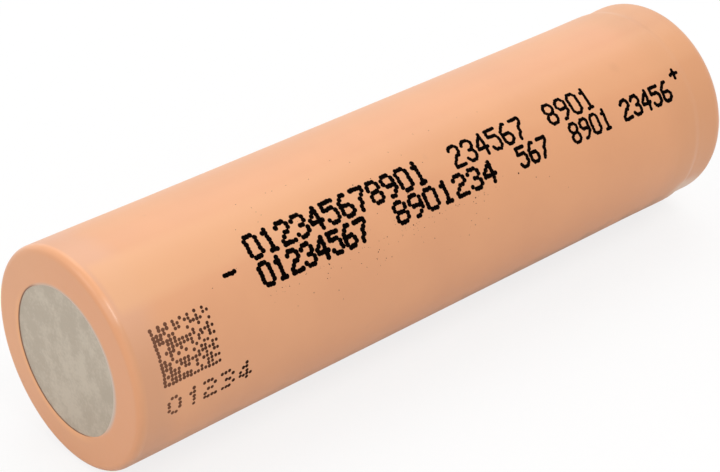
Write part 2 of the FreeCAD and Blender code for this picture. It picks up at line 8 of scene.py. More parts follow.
import math
import random
from functools import cached_property

import bpy
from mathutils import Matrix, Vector, noise


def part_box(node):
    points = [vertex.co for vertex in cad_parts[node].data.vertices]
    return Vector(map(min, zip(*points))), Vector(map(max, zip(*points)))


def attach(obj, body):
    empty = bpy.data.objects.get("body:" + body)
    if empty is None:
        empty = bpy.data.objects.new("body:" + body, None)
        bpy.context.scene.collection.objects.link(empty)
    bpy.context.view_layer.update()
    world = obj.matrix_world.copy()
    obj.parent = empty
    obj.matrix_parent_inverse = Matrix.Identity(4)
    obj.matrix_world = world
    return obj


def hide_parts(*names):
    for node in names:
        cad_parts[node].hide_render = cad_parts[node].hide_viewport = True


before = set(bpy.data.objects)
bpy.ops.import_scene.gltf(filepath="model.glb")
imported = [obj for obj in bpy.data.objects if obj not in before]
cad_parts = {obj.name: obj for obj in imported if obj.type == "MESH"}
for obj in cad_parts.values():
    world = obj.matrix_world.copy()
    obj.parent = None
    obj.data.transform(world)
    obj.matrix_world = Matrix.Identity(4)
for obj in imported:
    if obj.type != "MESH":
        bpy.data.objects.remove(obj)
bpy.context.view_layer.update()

MM = 0.001

# ---------------------------------------------------------------- places read from the CAD
sleeve_low, sleeve_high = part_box("shrink_sleeve")

HAIR = 0.005  # the film keeps this far inside the CAD's box
SKIN_R = sleeve_high.z / MM - HAIR  # outside of the film
BASE_FACE = sleeve_low.x / MM + HAIR  # film's face round the can's bottom
LIP_FACE = sleeve_high.x / MM - HAIR  # film's face over the crimp
FLOOR_LEVEL = sleeve_low.z

# ---------------------------------------------------------------- the film's own sizes, mm
FILM = 0.09
WAIST, WAIST_START, WAIST_END = 0.045, (-31.0, -20.0), (23.0, 28.0)  # thinner along the middle
UNEVEN = 0.006  # it is never quite even
AROUND = 288  # points round the cell

WINDOW_R = 6.19  # opening over the can's bottom
WINDOW_SHIFT, WINDOW_SHIFT_TURN = 0.15, 168.0  # it lies a little off centre
LIP_R = 6.85  # opening over the button
EDGE_SLOPE = 0.27  # how wide a cut edge slopes down to what it lies on
EDGE_STEPS = 8
EDGE_FOOT = 0.02  # keeps the foot of a cut edge crisp
THINNED, THINNED_TURN = 0.25, 45.0  # the window's edge thins out onto the steel on this side
NARROW, NARROW_TURN = 0.1, -75.0  # and the film's ring is narrower on this one

BASE_CORNER = 0.595
RIM_CORNER = 1.265
CREASE, CREASE_DEPTH, CREASE_TURN = 26.2, 0.012, 8.0  # faint fold before the dip
CREASE_WIDE, CREASE_LONG = 0.3, 30.0  # along in mm, round in degrees
FINE_START = 25.4  # rings lie closer together from here on, for the fold and the dip
DIP_START, DIP_LOW, DIP_END = 28.2, 29.12, 29.9
DIP_DEPTH = 0.1
DIP_EXTRA, DIP_EXTRA_TURN, DIP_EXTRA_LONG = 0.115, -62.0, 45.0  # it sinks deepest low down
DIP_EARLIER = 0.35  # and starts earlier there
RIM_STEP = 0.1
RIM_SHIFT, RIM_SHIFT_TURN = 0.08, 127.0  # the crimped end sits a little off the axis

# radii between which the shrinking pulls more and more
NEAR_PULL, FAR_PULL = (8.3, 6.1), (8.2, 7.0)
# waves of the cut edges: depth in mm, how many to a turn, line of the noise
NEAR_WAVES = ((0.05, 3, 1.0), (0.012, 14, 2.0))
FAR_WAVES = ((0.09, 4, 3.0), (0.03, 16, 5.0))
# puckers across the end faces: their depth in mm, and their waves
NEAR_PUCKER, FAR_PUCKER = 0.018, 0.03
PUCKER_WAVES = ((0.5, 22, 4.0),)

# single marks on the film, as points in mm
SMUDGE = (22.2, -4.4, 8.0)
SHINY_SPOT = (-32.2, -5.66, 7.0)

# ---------------------------------------------------------------- colours
PEACH, PEACH_CLOUD = (0.777, 0.366, 0.185), (0.817, 0.392, 0.197)
SCUFF = (0.62, 0.3, 0.17)
# painted shade low down and painted sheen on top, over the plain end
END_SHADE, END_TOP_SHEEN = (0.705, 0.345, 0.187), (0.775, 0.4, 0.235)
# painted shade low on the corner's ridge, and a painted highlight on it on top
RIDGE_SHADE, RIDGE_HIGHLIGHT = (0.7, 0.34, 0.175), (0.89, 0.43, 0.215)
DEEP_FACE = (0.805, 0.365, 0.178)
SHADED_END = (0.7, 0.34, 0.165)
# painted shade along the low side
UNDERSIDE_SHADE = (0.4, 0.23, 0.13)
# pale painted reflection over the rim, low down
RIM_REFLECTION = (0.86, 0.68, 0.56)
SMUDGED = (0.5, 0.23, 0.12)
# deeper tone towards the far end, partly painted shade
FAR_TINT_AND_SHADE = (0.98, 0.94, 0.89)
# painted highlight along the top flank
FLANK_HIGHLIGHT = (0.845, 0.44, 0.225)
# pale: thin film, and a painted reflection
THIN_EDGE_AND_REFLECTION = (0.62, 0.485, 0.39)
LIT_EDGE = (0.93, 0.45, 0.2)
EDGE_SHADE = (0.24, 0.1, 0.05)
BLACK_INK, BLACK_INK_THIN = (0.001, 0.0004, 0.0003), (0.02, 0.008, 0.005)
BROWN_INK, BROWN_INK_THIN = (0.2, 0.088, 0.052), (0.3, 0.14, 0.08)
BROWN_INK_DARK = (0.026, 0.01, 0.007)


# ---------------------------------------------------------------- materials
class Wire:
    """A node's output that Python's arithmetic works on: each sum adds a Math node."""

    def __init__(self, nodes, socket):
        self.nodes = nodes
        self.socket = socket

    def math(self, operation, first, second):
        return self.nodes.node("Math", {"operation": operation}, {0: first, 1: second})

    def __add__(self, other):
        return self.math("ADD", self, other)

    __radd__ = __add__

    def __sub__(self, other):
        return self.math("SUBTRACT", self, other)

    def __rsub__(self, other):
        return self.math("SUBTRACT", other, self)

    def __mul__(self, other):
        return self.math("MULTIPLY", self, other)

    __rmul__ = __mul__

    def larger(self, other):
        """The larger of the two."""
        return self.math("MAXIMUM", self, other)


class Nodes:
    """The nodes of one material or of the surround, under construction."""

    def __init__(self, owner):
        owner.use_nodes = True
        self.tree = owner.node_tree
        self.tree.nodes.clear()

    def node(self, kind, settings=None, sockets=None, output=0):
        """Adds a node: its settings come first, then its sockets' values and links."""
        made = self.tree.nodes.new("ShaderNode" + kind)
        for key, setting in (settings or {}).items():
            setattr(made, key, setting)
        for key, given in (sockets or {}).items():
            if isinstance(given, Wire):
                self.tree.links.new(given.socket, made.inputs[key])
            else:
                made.inputs[key].default_value = given
        return Wire(self, made.outputs[output]) if made.outputs else None

    def seen_directly(self):
        """1 for what the camera, a mirror or glass shows, 0 for light that falls on things."""
        camera, mirror, glass = (
            self.node("LightPath", output=name)
            for name in ("Is Camera Ray", "Is Glossy Ray", "Is Transmission Ray")
        )
        return camera.larger(mirror.larger(glass))


class Finish(Nodes):
    """One material, in millimetres of the cell."""

    def __init__(self, name):
        self.material = bpy.data.materials.new(name)
        super().__init__(self.material)

    def vector(self, operation, first, second, output=0):
        return self.node("VectorMath", {"operation": operation}, {0: first, 1: second}, output)

    @cached_property
    def place(self):
        """Where a point is on the cell, in millimetres."""
        metres = self.node("TexCoord", output="Object")
        return self.node("VectorMath", {"operation": "SCALE"}, {0: metres, "Scale": 1 / MM})

    @cached_property
    def along(self):
        return self.node("SeparateXYZ", None, {0: self.place}, output="X")

    @cached_property
    def radius(self):
        """How far a point is from the cell's axis."""
        across = self.vector("MULTIPLY", self.place, (0.0, 1.0, 1.0))
        return self.node("VectorMath", {"operation": "LENGTH"}, {0: across}, output="Value")

    @cached_property
    def height(self):
        """How far a point is above the cell's axis."""
        return self.toward(90)

    def toward(self, turn):
        """How far out a point lies on the side that a turn points to."""
        angle = math.radians(turn)
        side = (0.0, -math.cos(angle), math.sin(angle))
        return self.vector("DOT_PRODUCT", self.place, side, output="Value")

    def away_from(self, spot):
        """How far a point is from a spot on the cell."""
        return self.vector("DISTANCE", self.place, spot, output="Value")

    def grain(self, size, detail=2.0, stretch=None):
        """Noise whose features are about size millimetres across."""
        place = self.vector("MULTIPLY", self.place, stretch) if stretch else self.place
        return self.node("TexNoise", None, {"Vector": place, "Scale": 1 / size, "Detail": detail})

    def rise(self, value, low, high, kind="SMOOTHSTEP"):
        """0 below low, 1 above high, smooth between."""
        return self.node(
            "MapRange",
            {"interpolation_type": kind},
            {"Value": value, "From Min": low, "From Max": high},
        )

    def fall(self, value, low, high):
        """1 below low, 0 above high, smooth between."""
        return 1.0 - self.rise(value, low, high)

    def blend(self, share, first, second, kind="MIX"):
        """A mix of two colours: first at 0, second at 1."""
        colours = {
            key: given if isinstance(given, Wire) else (*given, 1)
            for key, given in ((6, first), (7, second))
        }
        settings = {"data_type": "RGBA", "blend_type": kind}
        return self.node("Mix", settings, {0: share, **colours}, output=2)

    def relief(self, height, depth):
        """A normal that shows height as relief, depth millimetres at height 1."""
        return self.node("Bump", None, {"Distance": depth * MM, "Height": height})

    def surface(self, **sockets):
        """Closes the material with the shader, and returns it."""
        names = {key.replace("_", " "): given for key, given in sockets.items()}
        shader = self.node("BsdfPrincipled", None, names)
        self.node("OutputMaterial", None, {"Surface": shader})
        return self.material


# ---------------------------------------------------------------- tones of the film
def end_shade_and_sheen(film, tone, cloud):
    """A little duller over its last few millimetres, with a cloudy border: painted shade low down,
    turning to a painted sheen on top.
    """
    share = film.fall(film.along + 2.0 * cloud, -29.8, -27.2) * film.rise(film.along, -32.2, -31.8)
    dull = film.blend(film.rise(film.height, 2.0, 8.0), END_SHADE, END_TOP_SHEEN)
    return film.blend(share * 0.9, tone, dull)


def painted_corner_light(film, tone, corner_ridge):
    """Painted light over the corner's ridge: a painted highlight, brightest on top, and painted
    shade lower down.
    """
    top = film.rise(film.height, 5.5, 8.3)
    ridge_light = film.blend(top, RIDGE_SHADE, RIDGE_HIGHLIGHT)
    return film.blend(corner_ridge * (0.5 + 0.3 * top), tone, ridge_light)


def deeper_face(film, tone):
    """One side of the flat face is deeper in tone."""
    side = film.rise(film.toward(20), -4.0, 6.0)
    face = film.fall(film.along, BASE_FACE + 0.05, BASE_FACE + 0.6)
    return film.blend(side * face * 0.8, tone, DEEP_FACE)


def shaded_end(film, tone):
    """The other end is a little darker, most of all on top."""
    share = 0.45 + 0.35 * film.rise(film.height, 7.8, 8.9)
    return film.blend(film.rise(film.along, 24.0, 27.5) * share, tone, SHADED_END)


def low_side_shade_and_reflection(film, tone):
    """Low down, painted shade that grows towards the far end, then a pale painted reflection over
    the rim.
    """
    wander = film.grain(2.4, 3.0) - 0.5
    low_side = film.toward(-48) + 0.8 * wander
    growing = 0.4 + 0.6 * film.rise(film.along, -6.0, 16.0)
    ending = film.fall(film.along + 5.0 * wander, 25.0, 28.0)
    underside_shade = film.rise(low_side, 8.7, 9.12) * growing * ending
    tone = film.blend(underside_shade * 0.6, tone, UNDERSIDE_SHADE)
    border = film.along + 3.0 * wander
    rim = film.rise(border, 26.8, 28.8) * film.fall(border, 30.2, 32.0)
    return film.blend(rim * film.rise(low_side, 8.25, 8.97) * 0.8, tone, RIM_REFLECTION)


def far_tint_and_shade(film, tone):
    """The tone deepens towards the far end, partly its own colour and partly painted shade that
    darkens it, all round but for the side that faces away.
    """
    share = film.rise(film.along, -25.0, 22.0, "LINEAR") * film.fall(film.toward(125), 6.2, 7.8)
    return film.blend(share, tone, FAR_TINT_AND_SHADE, "MULTIPLY")


def painted_flank_highlights(film, tone):
    """Painted highlight along the top flank, most of all near the plain end, and a little behind
    it.
    """
    fading = 0.25 * film.rise(film.along, -29.0, -24.0) + 0.25 * film.rise(film.along, -20.0, 5.0)
    top = film.rise(film.toward(62), 8.7, 9.0) * (0.75 - fading)
    behind = 0.3 * film.rise(film.toward(110), 8.6, 9.0) * film.rise(film.along, -30.5, -28.0)
    share = (top + behind) * film.rise(film.along, -31.9, -31.4)
    return film.blend(share, tone, FLANK_HIGHLIGHT)


def window_edge(film, tone):
    """The window's cut edge: pale where it thins out, partly thin film and partly a painted
    reflection; a painted lit line on its lower side; and painted shade where it stands off the
    steel.
    """
    thin = film.rise(film.toward(45), -1.5, 1.5)
    tone = film.blend(film.fall(film.radius, 5.95, 6.4) * thin, tone, THIN_EDGE_AND_REFLECTION)
    lit = film.rise(film.toward(-140), 1.0, 4.5)
    tone = film.blend(film.fall(film.radius, 6.4, 7.0) * lit * 0.75, tone, LIT_EDGE)
    lifted = film.rise(film.toward(-151), 0.0, 2.0)
    under = film.rise(film.along, BASE_FACE + 0.02, BASE_FACE + 0.055)
    return film.blend(under * film.fall(film.radius, 6.9, 7.1) * lifted, tone, EDGE_SHADE)


def peach_film():
    """Satin shrink film: cloudy in tone, faintly drawn lengthwise, with a few scuffs."""
    film = Finish("peach_film")
    cloud = film.grain(9.0, 3.0)
    orange_peel = film.grain(0.55)
    drawn = film.grain(0.35, stretch=(0.06, 1.0, 1.0))
    scuff = film.rise(film.grain(1.9, 3.0), 0.7, 0.8)
    # the corner's ridge: glossier, and carrying painted light in its tone
    corner_ridge = film.rise(film.radius, 8.8, 9.0) * film.fall(film.along, -32.1, -31.8)
    smudge = film.fall(film.away_from(SMUDGE), 0.1, 0.8)
    tone = film.blend(film.rise(cloud, 0.3, 0.7), PEACH, PEACH_CLOUD)
    tone = film.blend(scuff * 0.25, tone, SCUFF)
    tone = end_shade_and_sheen(film, tone, cloud)
    tone = painted_corner_light(film, tone, corner_ridge)
    tone = deeper_face(film, tone)
    tone = shaded_end(film, tone)
    tone = low_side_shade_and_reflection(film, tone)
    tone = film.blend(smudge * 0.15, tone, SMUDGED)
    tone = far_tint_and_shade(film, tone)
    tone = painted_flank_highlights(film, tone)
    tone = window_edge(film, tone)
    return film.surface(
        Base_Color=tone,
        Roughness=0.36 + 0.1 * cloud + 0.05 * orange_peel - 0.1 * corner_ridge,
        Coat_Weight=corner_ridge * film.fall(film.away_from(SHINY_SPOT), 0.5, 1.5),
        Coat_Roughness=0.34,
        Sheen_Weight=0.12,
        Sheen_Roughness=0.4,
        IOR=1.5,
        Normal=film.relief(orange_peel * 0.6 + drawn * 0.4, 0.006),
    )


# ---------------------------------------------------------------- other finishes
def printed_ink(name, left, right, thin_tone):
    """Matt ink whose tone changes a little along the cell."""
    ink = Finish(name)
    speckle = ink.grain(0.08)
    full = ink.blend(ink.rise(ink.along, -31.5, -22.5), left, right)
    return ink.surface(
        Base_Color=ink.blend(0.3 * ink.rise(speckle, 0.5, 0.75), full, thin_tone),
        Roughness=0.5 + 0.2 * speckle,
        Specular_IOR_Level=0.01,
        Normal=ink.relief(speckle, 0.004),
    )


def mottled_metal(name, dark, pale, rough, size, darker_side=0.0):
    """Plated sheet metal, dull and unevenly mottled."""
    metal = Finish(name)
    broad = metal.grain(1.6 * size, 4.0)
    fine = metal.grain(0.25 * size, 3.0)
    # darker towards one side
    darker_towards_side = darker_side * metal.rise(metal.toward(135), -1.0, 5.0)
    share = metal.rise(broad * 0.6 + fine * 0.4 - darker_towards_side, 0.38, 0.62)
    return metal.surface(
        Base_Color=metal.blend(share, dark, pale),
        Metallic=1.0,
        Roughness=rough - 0.06 + 0.12 * fine,
        Normal=metal.relief(fine, 0.004),
    )


def fibre_board():
    """Pressed grey-white insulating paper with short fibres."""
    board = Finish("fibre_board")
    fibres = board.grain(0.12, 3.0, stretch=(1.0, 0.35, 1.0))
    flecks = board.grain(0.3, stretch=(1.0, 1.0, 0.4))
    share = board.rise(fibres * 0.6 + flecks * 0.4, 0.35, 0.65)
    return board.surface(
        Base_Color=board.blend(share, (0.7, 0.69, 0.64), (0.84, 0.83, 0.79)),
        Roughness=0.85 - 0.1 * flecks,
        Normal=board.relief(fibres, 0.02),
    )


def moulded(name, dark, pale, rough):
    """Moulded or rolled plastic with a faint mottling."""
    plastic = Finish(name)
    skin = plastic.grain(0.4)
    cloud = plastic.grain(2.5)
    return plastic.surface(
        Base_Color=plastic.blend(plastic.rise(cloud, 0.3, 0.7), dark, pale),
        Roughness=rough - 0.05 + 0.1 * skin,
        Normal=plastic.relief(skin, 0.004),
    )


def coated_foil(name, dark, pale):
    """Foil under a dry, pressed powder coating."""
    foil = Finish(name)
    powder = foil.grain(0.05, 3.0)
    streak = foil.grain(0.8, stretch=(0.1, 1.0, 1.0))
    share = foil.rise(powder * 0.6 + streak * 0.4, 0.35, 0.65)
    return foil.surface(
        Base_Color=foil.blend(share, dark, pale),
        Roughness=0.8 + 0.15 * powder,
        Normal=foil.relief(powder, 0.006),
    )


can_plating = mottled_metal(
    "can_plating",
    (0.465, 0.403, 0.324),
    (0.55, 0.485, 0.396),
    rough=0.5,
    size=1.0,
    # how much darker towards one side
    darker_side=0.07,
)
cap_plating = mottled_metal(
    "cap_plating", (0.56, 0.535, 0.48), (0.64, 0.61, 0.555), rough=0.3, size=0.7
)
aluminium = mottled_metal(
    "aluminium_sheet", (0.68, 0.69, 0.7), (0.76, 0.77, 0.78), rough=0.4, size=0.8
)
nickel = mottled_metal(
    "nickel_strip", (0.58, 0.56, 0.51), (0.65, 0.63, 0.58), rough=0.3, size=0.6
)
seal = moulded("seal_plastic", (0.76, 0.78, 0.8), (0.83, 0.85, 0.87), rough=0.45)
blue_sheet = moulded("blue_sheet", (0.17, 0.28, 0.5), (0.22, 0.34, 0.58), rough=0.55)
porous_film = moulded("porous_film", (0.84, 0.84, 0.84), (0.91, 0.91, 0.91), rough=0.65)
amber_tape = moulded("amber_tape", (0.68, 0.34, 0.05), (0.79, 0.43, 0.07), rough=0.35)
green_tape = moulded("green_tape", (0.04, 0.26, 0.17), (0.06, 0.33, 0.22), rough=0.4)
cathode_powder = coated_foil("cathode_powder", (0.026, 0.026, 0.03), (0.038, 0.038, 0.045))
anode_powder = coated_foil("anode_powder", (0.05, 0.05, 0.058), (0.075, 0.075, 0.085))

NODE_FINISHES = {
    "insulating_washer": fibre_board(),
    "steel_can": can_plating,
    "sealing_gasket": seal,
    "positive_cap": cap_plating,
    "burst_disc": aluminium,
    "disc_insulator": seal,
    "weld_plate": aluminium,
    "cathode_tab": aluminium,
    "cathode_tab_tape": amber_tape,
    "upper_insulator": blue_sheet,
    "cathode_sheet": cathode_powder,
    "anode_sheet": anode_powder,
    "inner_separator": porous_film,
    "outer_separator": porous_film,
    "closing_tape": green_tape,
    "outer_anode_tab": nickel,
    "inner_anode_tab": nickel,
    "anode_tab_tape": amber_tape,
    "lower_insulator": blue_sheet,
}
for name, material in NODE_FINISHES.items():
    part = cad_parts[name]
    part.data.materials.clear()
    part.data.materials.append(material)


# ---------------------------------------------------------------- making pieces
def new_piece(name, points, faces, material):
    """A smooth-shaded piece of the object from points in metres."""
    mesh = bpy.data.meshes.new(name)
    mesh.from_pydata(points, [], faces)
    mesh.polygons.foreach_set("use_smooth", [True] * len(mesh.polygons))
    mesh.materials.append(material)
    mesh.validate()
    mesh.update()
    piece = bpy.data.objects.new(name, mesh)
    bpy.context.scene.collection.objects.link(piece)
    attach(piece, "root")
    return piece


def round_point(along, radius, turn):
    """The point at a radius from the axis, in metres."""
    angle = math.radians(turn)
    return along * MM, -radius * math.cos(angle) * MM, radius * math.sin(angle) * MM


def facing(turn, side):
    """1 on the side that a turn points to, 0 a quarter turn off, -1 opposite."""
    return math.cos(math.radians(turn - side))


def waves(turn, rows):
    """Smooth noise round the cell, summed over rows of depth, waves to a turn, line of noise."""
    angle = math.radians(turn)
    total = 0.0
    for depth, count, line in rows:
        reach = count / math.pi
        spot = Vector((reach * math.cos(angle), reach * math.sin(angle), line))
        total += depth * noise.noise(spot)
    return total


def eased(share):
    return share * share * (3.0 - 2.0 * share)


def part_way(value, start, end):
    """How far value is from start to end, as 0 to 1."""
    return min(1.0, max(0.0, (value - start) / (end - start)))


def bell(distance, width):
    """1 at no distance, falling off over a width."""
    return math.exp(-((distance / width) ** 2))


def skin_sink(along, turn):
    """How far the film lies under its full radius, in millimetres."""
    thinner = eased(part_way(along, *WAIST_START)) * (1.0 - eased(part_way(along, *WAIST_END)))
    angle = math.radians(turn)
    spot = Vector((0.08 * along, 1.1 * math.cos(angle), 1.1 * math.sin(angle)))
    fold = bell(along - CREASE, CREASE_WIDE) * bell(turn - CREASE_TURN, CREASE_LONG)
    return WAIST * thinner + UNEVEN * (1.0 + noise.noise(spot)) + CREASE_DEPTH * fold


# ---------------------------------------------------------------- the film
def run(start, end, steps):
    """Points on a straight line between two others, without those two."""
    return [
        tuple(first + (last - first) * step / steps for first, last in zip(start, end))
        for step in range(1, steps)
    ]


def corner(centre, radius, start, end, steps):
    """Points round a corner from one angle to another, both included."""
    angles = [math.radians(start + (end - start) * step / steps) for step in range(steps + 1)]
    return [
        (centre[0] + radius * math.cos(angle), centre[1] + radius * math.sin(angle))
        for angle in angles
    ]


def cut_edge(foot, radius, face):
    """A cut edge, rounded from its foot on the film's inside up to the film's face."""
    angles = [math.radians(90 * step / EDGE_STEPS) for step in range(EDGE_STEPS + 1)]
    return [(foot, radius + EDGE_FOOT)] + [
        (foot + (face - foot) * math.sin(angle), radius + EDGE_SLOPE * (1 - math.cos(angle)))
        for angle in angles
    ]


def film_section():
    """The film's closed section as (along, radius): the outside, from the window's edge to the
    edge of the far opening, and the inside, back again."""
    base_bend = (BASE_FACE + BASE_CORNER, SKIN_R - BASE_CORNER)
    rim_bend = (LIP_FACE - RIM_CORNER, SKIN_R - RIM_CORNER)
    in_base, in_lip, in_r = BASE_FACE + FILM, LIP_FACE - FILM, SKIN_R - FILM
    outside = [
        *cut_edge(in_base, WINDOW_R, BASE_FACE),
        *run((BASE_FACE, WINDOW_R + EDGE_SLOPE), (BASE_FACE, base_bend[1]), 10),
        *corner(base_bend, BASE_CORNER, 180, 90, 10),
        *run((base_bend[0], SKIN_R), (FINE_START, SKIN_R), 44),
        *run((FINE_START, SKIN_R), (DIP_START, SKIN_R), 16),
        *run((DIP_START, SKIN_R), (DIP_END, SKIN_R), 22),
        *run((DIP_END, SKIN_R), (rim_bend[0], SKIN_R), 5),
        *corner(rim_bend, RIM_CORNER, 90, 0, 12),
        *run((LIP_FACE, rim_bend[1]), (LIP_FACE, LIP_R + EDGE_SLOPE), 7),
        *reversed(cut_edge(in_lip, LIP_R, LIP_FACE)),
    ]
    inside = [
        *run((in_lip, LIP_R), (in_lip, rim_bend[1]), 3),
        *corner(rim_bend, RIM_CORNER - FILM, 0, 90, 6),
        *run((DIP_END, in_r), (DIP_START, in_r), 14),
        (DIP_START, in_r),
        *run((DIP_START, in_r), (base_bend[0], in_r), 6),
        *corner(base_bend, BASE_CORNER - FILM, 90, 180, 5),
        *run((in_base, base_bend[1]), (in_base, WINDOW_R), 3),
    ]
    return outside, inside


def window_cut(radius, turn, pull):
    """How far the window's edge lies outside its own circle."""
    edge = 1.0 - part_way(radius, WINDOW_R, WINDOW_R + EDGE_SLOPE)
    thinned = eased(part_way(facing(turn, THINNED_TURN), -0.25, 0.35))
    narrowed = eased(part_way(facing(turn, NARROW_TURN), 0.3, 0.9))
    shift = pull * WINDOW_SHIFT * facing(turn, WINDOW_SHIFT_TURN)
    return shift + edge * (NARROW * narrowed - THINNED * thinned)


def dip_and_rim(along, turn, outer):
    """How far the film sinks into the dip and over the crimped rim."""
    extra = bell(turn - DIP_EXTRA_TURN, DIP_EXTRA_LONG)
    low = DIP_LOW - DIP_EARLIER * extra
    slower = part_way(facing(turn, RIM_SHIFT_TURN), 0.0, 0.8)
    rim = eased(part_way(along, low, DIP_END + slower))
    dip = eased(part_way(along, DIP_START, low)) * (1.0 - rim)
    shift = RIM_SHIFT * facing(turn, RIM_SHIFT_TURN) if outer else 0.0
    return dip * (DIP_DEPTH + DIP_EXTRA * extra) + rim * (RIM_STEP - shift)


def shrunk(along, radius, turn, outer):
    """Where shrinking leaves a point of the section, as (along, radius)."""
    if along < 0:
        pull = eased(part_way(radius, *NEAR_PULL))
        out = radius + pull * waves(turn, NEAR_WAVES) + window_cut(radius, turn, pull)
        pucker = NEAR_PUCKER * pull
    else:
        pull = eased(part_way(radius, *FAR_PULL))
        out = radius + pull * waves(turn, FAR_WAVES) - dip_and_rim(along, turn, outer)
        pucker = -FAR_PUCKER * pull
    if not outer:
        return along, out
    return along + pucker * (0.5 + waves(turn, PUCKER_WAVES)), out - skin_sink(along, turn)


def make_film():
    """The shrunk film as one closed tube with uneven cut edges and faint puckers."""
    outside, inside = film_section()
    section = [(*spot, True) for spot in outside] + [(*spot, False) for spot in inside]
    points = []
    for along, radius, outer in section:
        for step in range(AROUND):
            turn = 360.0 * step / AROUND - 180.0
            points.append(round_point(*shrunk(along, radius, turn, outer), turn))
    faces = []
    for index in range(len(section)):
        ring = index * AROUND
        following = (index + 1) % len(section) * AROUND
        for step in range(AROUND):
            onward = (step + 1) % AROUND
            faces.append((ring + step, following + step, following + onward, ring + onward))
    film = new_piece("peach_sleeve", points, faces, peach_film())
    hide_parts("shrink_sleeve")


# ---------------------------------------------------------------- printed marks
TALL_DIGITS = [
    "01110 10001 10001 10001 10001 10001 01110",
    "00100 01100 00100 00100 00100 00100 01110",
    "01110 10001 00001 00110 01000 10000 11111",
    "01110 10001 00001 00110 00001 10001 01110",
    "00010 00110 01010 10010 11111 00010 00010",
    "11111 10000 11110 00001 00001 10001 01110",
    "00110 01000 10000 11110 10001 10001 01110",
    "11111 00001 00010 00100 00100 01000 01000",
    "01110 10001 10001 01110 10001 10001 01110",
    "01110 10001 10001 01111 00001 00010 01100",
]
SHORT_DIGITS = [
    "0110 1001 1001 1001 0110",
    "0010 0110 0010 0010 0010",
    "1110 0001 0110 1000 1111",
    "1110 0001 0110 0001 1110",
    "0010 0110 1010 1111 0010",
]

# top of a row in degrees, pitch of its lines of dots in mm, and its groups of digits: the
# digits, where they start and end, the size of a dot, and whether the dots run together
BLACK_ROWS = [
    (
        57.1,
        0.3,
        [
            ("012345678901", -19.75, -1.35, 0.445, False),
            ("234567", 1.5, 9.9, 0.345, True),
            ("8901", 12.4, 18.0, 0.34, True),
        ],
    ),
    (
        42.1,
        0.275,
        [
            ("01234567", -19.75, -8.75, 0.455, False),
            ("8901234", -6.1, 5.1, 0.435, False),
            ("567", 7.65, 11.3, 0.35, True),
            ("8901", 13.9, 18.8, 0.33, True),
            ("23456", 20.2, 26.5, 0.36, True),
        ],
    ),
]
# the marks' places, and the pitch and size of their dots
MINUS_START, MINUS_TURN, MINUS_STEP, MINUS_DOT = -22.5, 44.2, 0.24, 0.4
PLUS_MIDDLE, PLUS_TURN, PLUS_STEP, PLUS_DOT = 27.58, 44.1, 0.2, 0.35

SQUARE_DOTS = 16  # dots along each side of the brown square
SQUARE_LEFT, SQUARE_TOP = -30.14, 35.26  # its first dot: along in mm, turn in degrees
SQUARE_ACROSS, SQUARE_DOWN = 0.336, 0.291  # pitches of its dots
SQUARE_DOT, SQUARE_DOT_LESS = 0.325, 0.003  # size of a dot, and how much less with each column

DOT_SIDES = 12
DOT_JITTER = 0.018  # how far a drop lands out of place
DOT_UNEVEN = (0.93, 1.07)  # how much smaller or larger it comes out
INK_PROUD = 0.004
INK_SUNK = 0.003
# rings of a drop: how far out, as a share of its radius, and how high over the film
DROP_RINGS = ((0.85, 0.75 * INK_PROUD), (1.0, 0.3 * INK_PROUD), (1.0, -INK_SUNK))


def round_by(arc):
    """The turn, in degrees, that a length round the sleeve stands for."""
    return math.degrees(arc / SKIN_R)


def spots_of(digit, joined):
    """The (line, column) of each dot of a digit, and between dots that meet if joined."""
    spots = [
        (line, column)
        for line, dots in enumerate(digit.split())
        for column, inked in enumerate(dots)
        if inked == "1"
    ]
    between = []
    for line, column in spots if joined else []:
        for down, aside in ((0, 1), (1, 0), (1, 1), (1, -1)):
            beside = {(line + 1, column), (line, column + aside)}
            cuts_corner = down and aside and beside.intersection(spots)
            if (line + down, column + aside) in spots and not cuts_corner:
                between.append((line + 0.5 * down, column + 0.5 * aside))
    return spots + between


class Ink:
    """Dots of ink gathered into one piece."""

    def __init__(self, seed):
        self.hand = random.Random(seed)
        self.points = []
        self.faces = []

    def dot(self, along, turn, size, jitter=DOT_JITTER):
        """One low, round drop, a little out of place and out of round."""
        along += self.hand.gauss(0.0, jitter)
        turn += round_by(self.hand.gauss(0.0, jitter))
        radius = 0.5 * size * self.hand.uniform(*DOT_UNEVEN)
        top = len(self.points)

        def spot(reach, side, height):
            angle = math.tau * side / DOT_SIDES
            there = along + reach * math.cos(angle)
            at_turn = turn + round_by(reach * math.sin(angle))
            return round_point(there, SKIN_R - skin_sink(there, at_turn) + height, at_turn)

        self.points.append(spot(0.0, 0, INK_PROUD))
        for share, height in DROP_RINGS:
            for side in range(DOT_SIDES):
                self.points.append(spot(share * radius, side, height))
        self.points.append(spot(0.0, 0, -INK_SUNK))
        under = len(self.points) - 1
        rings = [top + 1 + ring * DOT_SIDES for ring in range(len(DROP_RINGS))]
        for side in range(DOT_SIDES):
            onward = (side + 1) % DOT_SIDES
            self.faces.append((top, rings[0] + side, rings[0] + onward))
            for upper, lower in zip(rings, rings[1:]):
                self.faces.append((upper + side, lower + side, lower + onward, upper + onward))
            self.faces.append((under, rings[-1] + onward, rings[-1] + side))

    def digits(self, text, font, start, step, column, top, row, size, joined=False):
        """A row of digits: step, column and row are the pitches of digits and dots."""
        for index, digit in enumerate(text):
            for line, across in spots_of(font[int(digit)], joined):
                self.dot(start + index * step + across * column, top - round_by(line * row), size)

    def group(self, text, start, end, top, row, size, joined):
        """Tall digits that fill the length from start to end."""
        column = (end - start - size) / (6 * len(text) - 2)
        first = start + size / 2
        self.digits(text, TALL_DIGITS, first, 6 * column, column, top, row, size, joined)


